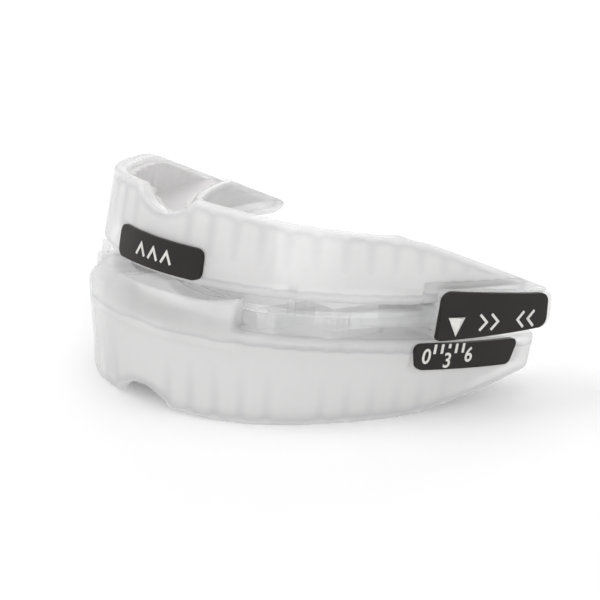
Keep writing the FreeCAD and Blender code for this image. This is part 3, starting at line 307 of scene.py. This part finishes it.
measureSettings = {
    "wallMost": 3.0,            # a thicker wall counts as this thick
    "wallStart": 0.05,          # how far under the skin its measuring starts
    "wallBlend": 4,
    "backingMost": 2.6,         # lining farther behind a shell, or thicker, isn't seen
    "backingStart": 0.02,
    "backingBlend": 12,
    "deckLean": 0.9,            # a surface that faces more along rise than this is no wall
}


def measureWall(mesh):
    # how thick the wall is under each point, in millimetres, as the attribute "wall"
    s = measureSettings
    skin = skinOf(mesh)
    walls = []
    for v in mesh.vertices:
        reach = skin.ray_cast(v.co - v.normal * s["wallStart"] * mm, -v.normal, s["wallMost"] * mm)[3]
        walls.append(s["wallMost"] if reach is None else reach / mm)
    store(mesh, "wall", numpy.array(walls), s["wallBlend"])


def measureBacking(mesh, liningMesh, grooveShading):
    # how much lining lies level behind each point of a shell, in millimetres, as "backing"
    s = measureSettings
    skin = skinOf(liningMesh)
    depths = []
    for v in mesh.vertices:
        lean = v.normal.dot(rise)
        way = -v.normal if abs(lean) > s["deckLean"] else (rise * lean - v.normal).normalized()
        first = skin.ray_cast(v.co, way, s["backingMost"] * mm)[0]
        if first is None:
            depths.append(0.0)
            continue
        reach = skin.ray_cast(first + way * s["backingStart"] * mm, way, s["backingMost"] * mm)[3]
        depths.append(s["backingMost"] if reach is None else reach / mm)
    full = clearSettings["thickBacking"]
    depths = numpy.array(depths)
    # a weaker setting counts thin lining as thicker, which lightens the shade painted over its grooves
    depths = numpy.where((depths > 0) & (depths < full), full - (full - depths) * grooveShading, depths)
    store(mesh, "backing", depths, s["backingBlend"])


# The lip's two breathing vents are shallow slots under the upper tray. Heights over the deck: the lip's
# foot, its vents' floor and its top, and where each of them ends up.
lipSettings = {
    "halfWidth": 14.5,
    "depth": 8.0,
    "from": (0.0, 2.07, 4.05),
    "to": (0.0, 3.15, 4.05),
}


def raiseVents(mesh):
    s = lipSettings
    front = min(v.co.dot(along) for v in mesh.vertices)
    for v in mesh.vertices:
        height = (v.co.dot(rise) - deck) / mm
        inside = abs(v.co.x) < s["halfWidth"] * mm and v.co.dot(along) - front < s["depth"] * mm
        if inside and height > 0:
            v.co += rise * (float(numpy.interp(height, s["from"], s["to"])) - height) * mm


# A lever's pad ends flush with the front of its squeeze plate and stands out behind it: how far each
# place along the lever, counted from the plate's front end, is drawn back.
padSettings = {
    "places": (-3.5, -0.7, 1.6, 12.5, 16.8),
    "drawn": (0.0, 0.7, 0.0, 0.0, 0.9),
    "endLength": 1.5,           # how much of each end of the plate gives its line
}


def drawPad(mesh, plate):
    s = padSettings
    reaches = [(v.co.dot(along), v.co) for v in plate.vertices]
    front, rear = min(r for r, _ in reaches), max(r for r, _ in reaches)
    ends = []
    for end in (front, rear):
        near = [co for r, co in reaches if abs(r - end) < s["endLength"] * mm]
        ends.append(sum(near, Vector()) / len(near))
    line = (ends[1] - ends[0]).normalized()
    for v in mesh.vertices:
        place = (v.co.dot(along) - front) / mm
        v.co += line * float(numpy.interp(place, s["places"], s["drawn"])) * mm


# voxel is the grain of the rebuilt skin, passes how far its edges melt, sink how far it draws in. A
# shell's backing is the lining behind it, and the last setting is how strongly the shade painted over
# that lining's grooves shows.
mouldSettings = {
    "upper_liner": {"voxel": 0.22, "passes": 3, "sink": 0.1},
    "lower_liner": {"voxel": 0.24, "passes": 3, "sink": 0.1},
    "upper_shell": {"voxel": 0.26, "passes": 7, "backing": "upper_liner", "grooveShading": 1.0},
    "lower_shell": {"voxel": 0.285, "passes": 7, "backing": "lower_liner", "grooveShading": 0.4},
    "guide_rail": {"voxel": 0.13, "passes": 5},
    "slide_track": {"voxel": 0.13, "passes": 4},
    "release_lever": {"voxel": 0.13, "passes": 3},
}
joinDistance = 0.001  # corners nearer than this become one


def softSkin(piece, s):
    # turns a piece into one closed skin with softly melted edges
    skin = piece.modifiers.new("skin", "REMESH")
    skin.mode = "VOXEL"
    skin.voxel_size = s["voxel"] * mm
    melt = piece.modifiers.new("melt", "SMOOTH")
    melt.factor = 0.5
    melt.iterations = s["passes"]
    if "sink" in s:
        sink = piece.modifiers.new("sink", "DISPLACE")
        sink.strength = -s["sink"] * mm
        sink.mid_level = 0
    piece.data = plainMesh(piece)
    piece.modifiers.clear()
    piece.data.shade_smooth()
    piece.data.materials.clear()


def makeMoulded(nodeName, s):
    # the node again, as a moulding with its own soft edges
    bm = bmesh.new()
    bm.from_mesh(cadNodes[nodeName].data)
    bmesh.ops.remove_doubles(bm, verts=bm.verts, dist=joinDistance * mm)
    mesh = bpy.data.meshes.new(nodeName + "_moulded")
    bm.to_mesh(mesh)
    bm.free()
    piece = meshObject(nodeName + "_moulded", mesh)
    softSkin(piece, s)
    if nodeName == "lower_shell":
        raiseVents(piece.data)
    if nodeName.startswith("release_lever"):
        drawPad(piece.data, cadNodes[nodeName.replace("release_lever", "squeeze_plate")].data)
    if slotOf[nodeName] == "frosted_lining":
        measureWall(piece.data)
    if "backing" in s:
        measureBacking(piece.data, moulded[s["backing"]].data, s["grooveShading"])
    piece.data.materials.append(shell if "backing" in s else finishes[slotOf[nodeName]])
    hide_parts(nodeName)
    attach(piece, bodyOf[nodeName])
    print(piece.name, len(piece.data.polygons), "faces")
    return piece


moulded = {}
for kind, settings in mouldSettings.items():
    for nodeName in cadNodes:
        if nodeName.startswith(kind):
            moulded[nodeName] = makeMoulded(nodeName, settings)

# A thin clear skirt hangs from the upper tray's tongue side and closes the gap over the lower deck.
skirtSettings = {
    "thickness": 0.6,
    "inset": 0.3,               # behind the tray's own inner face
    "top": 5.4,                 # over the lower deck, up inside the upper one
    "bottom": 0.4,              # clear of the lower deck, which slides under it
    "felt": 5.6,                # the height at which the tray's inner face is felt
    "reach": 112.0,             # degrees round the arch from its middle, each way
    "steps": 120,
    "roundStep": 30,            # degrees between the points of its round lower edge
}


def makeSkirt():
    # its outline is the upper tray's inner one, felt from inside the arch
    s = skirtSettings
    inner = skinOf(cadNodes["upper_shell"].data)
    pivot = Vector(joints["squeeze_left"]["pos_m"])
    centre = along * pivot.dot(along) + rise * (deck + s["felt"] * mm)
    half = s["thickness"] / 2
    middle = s["inset"] + half
    turnHeight = s["bottom"] + half
    section = [(middle - half, s["top"]), (middle + half, s["top"]), (middle + half, turnHeight)]
    for turn in range(s["roundStep"], 180, s["roundStep"]):
        t = math.radians(turn)
        section.append((middle + half * math.cos(t), turnHeight - half * math.sin(t)))
    section.append((middle - half, turnHeight))
    bm = bmesh.new()
    rings = []
    for i in range(s["steps"] + 1):
        t = math.radians(s["reach"]) * (2 * i / s["steps"] - 1)
        way = Vector((math.sin(t), 0, 0)) - along * math.cos(t)
        spot = inner.ray_cast(centre, way)[0]
        ring = [spot + (way * deep + rise * (high - s["felt"])) * mm for deep, high in section]
        rings.append([bm.verts.new(point) for point in ring])
    for one, two in zip(rings, rings[1:]):
        for k in range(len(one)):
            bm.faces.new((one[k], one[k - 1], two[k - 1], two[k]))
    bm.faces.new(rings[0])
    bm.faces.new(rings[-1])
    bmesh.ops.recalc_face_normals(bm, faces=bm.faces)
    mesh = bpy.data.meshes.new("tongue_skirt")
    bm.to_mesh(mesh)
    bm.free()
    mesh.shade_smooth()
    mesh.materials.append(veil)
    piece = meshObject("tongue_skirt", mesh)
    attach(piece, "upper_tray")
    print("skirt made")


makeSkirt()

# White pad-printed signs: a scale on each side plate, chevrons on the front and squeeze plates, and a
# raised pointer over each scale. Places are counted from the plate's front end and over its foot.
signSettings = {
    "height": 0.11,             # how far the ink stands up from its plate
    "stroke": 0.34,
    "sink": 0.02,               # how far a sign's back goes into its plate
    "mitre": 0.3,               # keeps the corners of a sharp bend from running out too far
    "digitHeight": 2.1,
    "digitWidth": 0.82,         # of the letter-cutter's usual width
    "digitWeight": 0.012,       # added round its strokes, for a letter one high
    "scaleTop": 3.55,
    "scaleStart": 1.5,          # its zero
    "scaleStep": 1.0,           # the jaw moves one millimetre from tick to tick
    "digitDrop": {0: 1.6, 3: 2.25, 6: 1.6},  # each digit's middle, under the scale's top
    "pointer": {"width": 2.3, "height": 2.5, "edge": 0.1, "ridge": 0.55, "ridgeShare": 0.35,
                "fromFront": 2.38, "fromFoot": 0.6},
    "chevron": {"width": 1.0, "height": 2.1, "step": 1.7, "pairs": (6.2, 12.0), "fromFoot": 2.3},
    "frontChevron": {"width": 1.7, "height": 1.5, "step": 2.5, "fromFoot": 2.1},
}
tickSettings = {
    "count": 5,                 # between the scale's first digit and its last
    "step": signSettings["scaleStep"],
    "length": 1.3,
    "width": signSettings["stroke"],
    "height": signSettings["height"],
    "middle": 0.45,             # the middle one's length, as a share of the others'
}
farOut = 30.0  # a place well outside every plate, from which its face is found


def flatMesh(name, corners, faces):
    mesh = bpy.data.meshes.new(name)
    mesh.from_pydata(corners, [], faces)
    return mesh


def strokeMesh(path):
    # a flat line of even width through the path, with its corners mitred
    width, height = signSettings["stroke"], signSettings["height"]
    line = [Vector(point) for point in path]
    left, right = [], []
    for i, point in enumerate(line):
        before = (point - line[i - 1]).normalized() if i else None
        after = (line[i + 1] - point).normalized() if i + 1 < len(line) else None
        run = ((before or after) + (after or before)).normalized()
        side = Vector((-run.y, run.x))
        reach = width / 2 / max(abs(run.dot(after or before)), signSettings["mitre"])
        left.append(point + side * reach)
        right.append(point - side * reach)
    ring = left + right[::-1]
    count = len(ring)
    corners = [(*p, 0.0) for p in ring] + [(*p, height) for p in ring]
    faces = []
    for i in range(len(line) - 1):
        quad = (i, i + 1, count - 2 - i, count - 1 - i)
        faces += [quad, tuple(count + k for k in reversed(quad))]
    faces += [((i + 1) % count, i, count + i, count + (i + 1) % count) for i in range(count)]
    return flatMesh("stroke", corners, faces)


def digitMesh(digit):
    s = signSettings
    cut = bpy.data.curves.new("digit", "FONT")
    cut.body = str(digit)
    cut.align_x = "CENTER"
    cut.size = 1.0
    cut.extrude = 0.5  # each way, so the letter is one thick until it is scaled below
    cut.offset = s["digitWeight"]
    holder = meshObject("digit", cut)
    mesh = plainMesh(holder)
    bpy.data.objects.remove(holder)
    low = min(v.co.y for v in mesh.vertices)
    tall = max(v.co.y for v in mesh.vertices) - low
    for v in mesh.vertices:
        u = v.co.x * s["digitHeight"] / tall * s["digitWidth"]
        w = ((v.co.y - low) / tall - 0.5) * s["digitHeight"]
        v.co = (u, w, (v.co.z + cut.extrude) * s["height"])
    return mesh


def pointerMesh():
    # a raised wedge with its tip over the scale and a ridge down it, off its middle
    p = signSettings["pointer"]
    w, h, edge = p["width"] / 2, p["height"], p["edge"]
    corners = [(-w, h, 0), (w, h, 0), (0, 0, 0), (-w, h, edge), (w, h, edge), (0, 0, edge)]
    corners.append((p["ridgeShare"] * w, h, p["ridge"]))
    faces = [(0, 1, 2), (3, 5, 6), (5, 4, 6), (3, 6, 4, 1, 0), (0, 2, 5, 3), (2, 1, 4, 5)]
    return flatMesh("pointer", corners, faces)


def chevronMesh(point):
    c = signSettings["chevron"]
    w, h = c["width"] / 2 * point, c["height"] / 2
    return strokeMesh([(-w, h), (w, 0), (-w, -h)])


def makeTickTree():
    # the scale's ticks: a row of bars hung from one line, the middle one shorter
    tree = bpy.data.node_groups.new("scale_ticks", "GeometryNodeTree")
    tree.interface.new_socket("geometry", in_out="OUTPUT", socket_type="NodeSocketGeometry")
    for name, value in tickSettings.items():
        kind = "NodeSocketInt" if name == "count" else "NodeSocketFloat"
        tree.interface.new_socket(name, in_out="INPUT", socket_type=kind).default_value = value
    tree.interface.new_socket("ink", in_out="INPUT", socket_type="NodeSocketMaterial")
    given = addNode(tree, "NodeGroupInput").outputs
    step = addNode(tree, "ShaderNodeCombineXYZ", {}, {"X": given["step"]})
    row = addNode(tree, "GeometryNodeMeshLine", {}, {
        "Count": given["count"], "Offset": step.outputs[0]})
    size = addNode(tree, "ShaderNodeCombineXYZ", {}, {
        "X": given["width"], "Y": given["length"], "Z": given["height"]})
    bar = addNode(tree, "GeometryNodeMeshCube", {}, {"Size": size.outputs[0]})
    drop = addNode(tree, "ShaderNodeMath", {"operation": "MULTIPLY"}, {0: given["length"], 1: -0.5})
    lift = addNode(tree, "ShaderNodeMath", {"operation": "MULTIPLY"}, {0: given["height"], 1: 0.5})
    hang = addNode(tree, "ShaderNodeCombineXYZ", {}, {"Y": drop.outputs[0], "Z": lift.outputs[0]})
    hung = addNode(tree, "GeometryNodeTransform", {}, {
        "Geometry": bar.outputs["Mesh"], "Translation": hang.outputs[0]})
    index = addNode(tree, "GeometryNodeInputIndex")
    last = addNode(tree, "ShaderNodeMath", {"operation": "SUBTRACT"}, {0: given["count"], 1: 1.0})
    middle = addNode(tree, "ShaderNodeMath", {"operation": "MULTIPLY"}, {0: last.outputs[0], 1: 0.5})
    isMiddle = addNode(tree, "ShaderNodeMath", {"operation": "COMPARE"}, {
        0: index.outputs[0], 1: middle.outputs[0], 2: 0.1})
    shrink = addNode(tree, "ShaderNodeMapRange", {}, {
        "Value": isMiddle.outputs[0], "To Min": 1.0, "To Max": given["middle"]})
    scale = addNode(tree, "ShaderNodeCombineXYZ", {}, {
        "X": 1.0, "Y": shrink.outputs["Result"], "Z": 1.0})
    bars = addNode(tree, "GeometryNodeInstanceOnPoints", {}, {
        "Points": row.outputs["Mesh"], "Instance": hung.outputs["Geometry"],
        "Scale": scale.outputs[0]})
    real = addNode(tree, "GeometryNodeRealizeInstances", {}, {"Geometry": bars.outputs["Instances"]})
    inked = addNode(tree, "GeometryNodeSetMaterial", {}, {
        "Geometry": real.outputs["Geometry"], "Material": given["ink"]})
    addNode(tree, "NodeGroupOutput", {}, {"geometry": inked.outputs["Geometry"]})
    return tree


def ticksMesh(tree):
    holder = meshObject("ticks", bpy.data.meshes.new("ticks"))
    made = holder.modifiers.new("ticks", "NODES")
    made.node_group = tree
    for socket in tree.interface.items_tree:
        if socket.in_out == "INPUT":
            made[socket.identifier] = tickSettings.get(socket.name, ink)
    mesh = plainMesh(holder)
    bpy.data.objects.remove(holder)
    return mesh


def layOn(name, plateName, shapes, hand=0):
    # lays (mesh, place, height) shapes on a plate's outer face. hand is 1 on the left, -1 on the right
    # and 0 for the front plate, whose places are counted from its middle.
    plate = cadNodes[plateName].data
    face = skinOf(plate)
    line = along if hand else Vector((1, 0, 0))
    across = along * hand if hand else line
    outward = Vector((hand, 0, 0)) if hand else Vector((0, -1, 0))
    zero = min(v.co.dot(along) for v in plate.vertices) if hand else 0.0
    foot = min(v.co.dot(rise) for v in plate.vertices)
    centre = sum((v.co for v in plate.vertices), Vector()) / len(plate.vertices)
    bm = bmesh.new()
    for mesh, ahead, above in shapes:
        mark = bmesh.new()
        mark.from_mesh(mesh)
        start = line * (zero + ahead * mm - centre.dot(line))
        start += rise * (foot + above * mm - centre.dot(rise))
        start += centre
        for v in mark.verts:
            u, w, h = v.co
            origin = start + across * u * mm + rise * w * mm + outward * farOut * mm
            spot, normal, _, _ = face.ray_cast(origin, -outward)
            v.co = spot + normal * (h - signSettings["sink"]) * mm
        made = bpy.data.meshes.new("mark")
        mark.to_mesh(made)
        mark.free()
        bm.from_mesh(made)
    bmesh.ops.recalc_face_normals(bm, faces=bm.faces)
    mesh = bpy.data.meshes.new(name)
    bm.to_mesh(mesh)
    bm.free()
    mesh.materials.append(ink)
    piece = meshObject(name, mesh)
    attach(piece, bodyOf[plateName])
    return piece


def makeSigns():
    s = signSettings
    front, chevron, pointer = s["frontChevron"], s["chevron"], s["pointer"]
    w, h = front["width"] / 2, front["height"] / 2
    upward = strokeMesh([(-w, -h), (0, h), (w, -h)])
    row = [(upward, front["step"] * i, front["fromFoot"]) for i in (-1, 0, 1)]
    layOn("front_signs", "front_plate", row)
    tickTree = makeTickTree()
    for side, hand in (("left", 1), ("right", -1)):
        scale = [(digitMesh(digit), s["scaleStart"] + digit * s["scaleStep"], s["scaleTop"] - drop)
                 for digit, drop in s["digitDrop"].items()]
        # the row of ticks runs forward on the right side, so there it starts from the last tick
        start = 1 if hand > 0 else tickSettings["count"]
        scale.append((ticksMesh(tickTree), s["scaleStart"] + s["scaleStep"] * start, s["scaleTop"]))
        layOn("scale_signs_" + side, "scale_plate_" + side, scale, hand)
        marks = [(pointerMesh(), pointer["fromFront"], pointer["fromFoot"])]
        for first, point in zip(chevron["pairs"], (hand, -hand)):  # the two pairs point at each other
            marks += [(chevronMesh(point), first, chevron["fromFoot"]),
                      (chevronMesh(point), first + chevron["step"], chevron["fromFoot"])]
        layOn("squeeze_signs_" + side, "squeeze_plate_" + side, marks, hand)
    print("signs laid on the plates")


makeSigns()

# A bright studio: a wide sheet of white paper, a plain white world and four soft lamps.
stageSettings = {
    "floorSize": 3.0,           # metres
    "floorColour": "#f4f4f4",
    "floorGlow": 0.14,          # added where the paper is seen, and not to the light it gives
    "worldLight": 0.74,         # as light; the world is seen at full strength
}
lampSettings = {
    # place and width in metres, then watts
    "key_softbox": ((-0.35, -0.3, 0.5), 0.45, 1.1),
    "front_softbox": ((0.55, -0.5, 0.08), 0.5, 2.6),
    "top_softbox": ((0.0, 0.2, 0.7), 0.5, 0.8),
    "rear_softbox": ((-0.4, 0.5, 0.3), 0.5, 0.8),
}
cameraSettings = {
    "azimuth": 47.95,           # degrees, as are the next two
    "elevation": 18.78,
    "roll": -0.27,
    "distance": 550.5,
    "viewWidth": 79.575597,     # what the frame shows across at that distance
    "offset": (-4.47, 4.60),    # how far the aim lies from the frame's middle, across and up
    "aim": (0.0, 0.0, 14.0),
    "sensor": 36.0,
    "nearest": 10.0,            # the camera shows nothing nearer than this
}


def seenRays(tree):
    # 1 for a ray that shows something, straight, through the plastic or mirrored, and 0 for one that
    # only gathers light
    ray = addNode(tree, "ShaderNodeLightPath").outputs
    seen = addNode(tree, "ShaderNodeMath", {"operation": "MAXIMUM"}, {
        0: ray["Is Camera Ray"], 1: ray["Is Transmission Ray"]})
    seen = addNode(tree, "ShaderNodeMath", {"operation": "MAXIMUM"}, {
        0: seen.outputs[0], 1: ray["Is Glossy Ray"]})
    return seen.outputs[0]


def makeStage():
    s = stageSettings
    half = s["floorSize"] / 2
    corners = [(-half, -half, 0), (half, -half, 0), (half, half, 0), (-half, half, 0)]
    floor = meshObject("floor", flatMesh("floor", corners, [(0, 1, 2, 3)]))
    material, tree = newMaterial("white_paper_sweep")
    strength = addNode(tree, "ShaderNodeMath", {"operation": "MULTIPLY"}, {
        0: seenRays(tree), 1: s["floorGlow"]})
    paper = addNode(tree, "ShaderNodeBsdfDiffuse", {}, {"Color": linear(s["floorColour"])})
    glow = addNode(tree, "ShaderNodeEmission", {}, {"Strength": strength.outputs[0]})
    both = addNode(tree, "ShaderNodeAddShader", {}, {0: paper.outputs[0], 1: glow.outputs[0]})
    addNode(tree, "ShaderNodeOutputMaterial", {}, {"Surface": both.outputs[0]})
    floor.data.materials.append(material)

    world = bpy.data.worlds.new("studio")
    world.use_nodes = True
    tree = world.node_tree
    tree.nodes.clear()
    strength = addNode(tree, "ShaderNodeMapRange", {}, {
        "Value": seenRays(tree), "To Min": s["worldLight"], "To Max": 1.0})
    sky = addNode(tree, "ShaderNodeBackground", {}, {"Strength": strength.outputs[0]})
    addNode(tree, "ShaderNodeOutputWorld", {}, {"Surface": sky.outputs[0]})
    bpy.context.scene.world = world


def addLamp(name, place, width, watts):
    lamp = bpy.data.lights.new(name, "AREA")
    lamp.shape = "DISK"
    lamp.size = width
    lamp.energy = watts
    holder = bpy.data.objects.new(name, lamp)
    holder.location = place
    target = Vector(cameraSettings["aim"]) * mm
    holder.rotation_euler = (target - Vector(place)).to_track_quat("-Z", "Y").to_euler()
    bpy.context.scene.collection.objects.link(holder)


def makeCamera():
    s = cameraSettings
    a, e, roll = (math.radians(s[k]) for k in ("azimuth", "elevation", "roll"))
    right = Vector((math.cos(a), math.sin(a), 0))
    back = Vector((math.sin(a) * math.cos(e), -math.cos(a) * math.cos(e), math.sin(e)))
    up = back.cross(right)
    across = math.cos(roll) * right + math.sin(roll) * up
    above = -math.sin(roll) * right + math.cos(roll) * up
    data = bpy.data.cameras.new("camera")
    data.sensor_width = s["sensor"]
    data.lens = s["distance"] / s["viewWidth"] * s["sensor"]
    data.clip_start = s["nearest"] * mm
    place = Vector(s["aim"]) + s["distance"] * back - s["offset"][0] * across - s["offset"][1] * above
    camera = bpy.data.objects.new("camera", data)
    turn = Matrix((across, above, back)).transposed().to_4x4()
    camera.matrix_world = Matrix.Translation(place * mm) @ turn
    bpy.context.scene.collection.objects.link(camera)
    bpy.context.scene.camera = camera


makeStage()
for name, (place, width, watts) in lampSettings.items():
    addLamp(name, place, width, watts)
makeCamera()
bpy.context.scene.view_settings.view_transform = "Standard"
print("stage set")
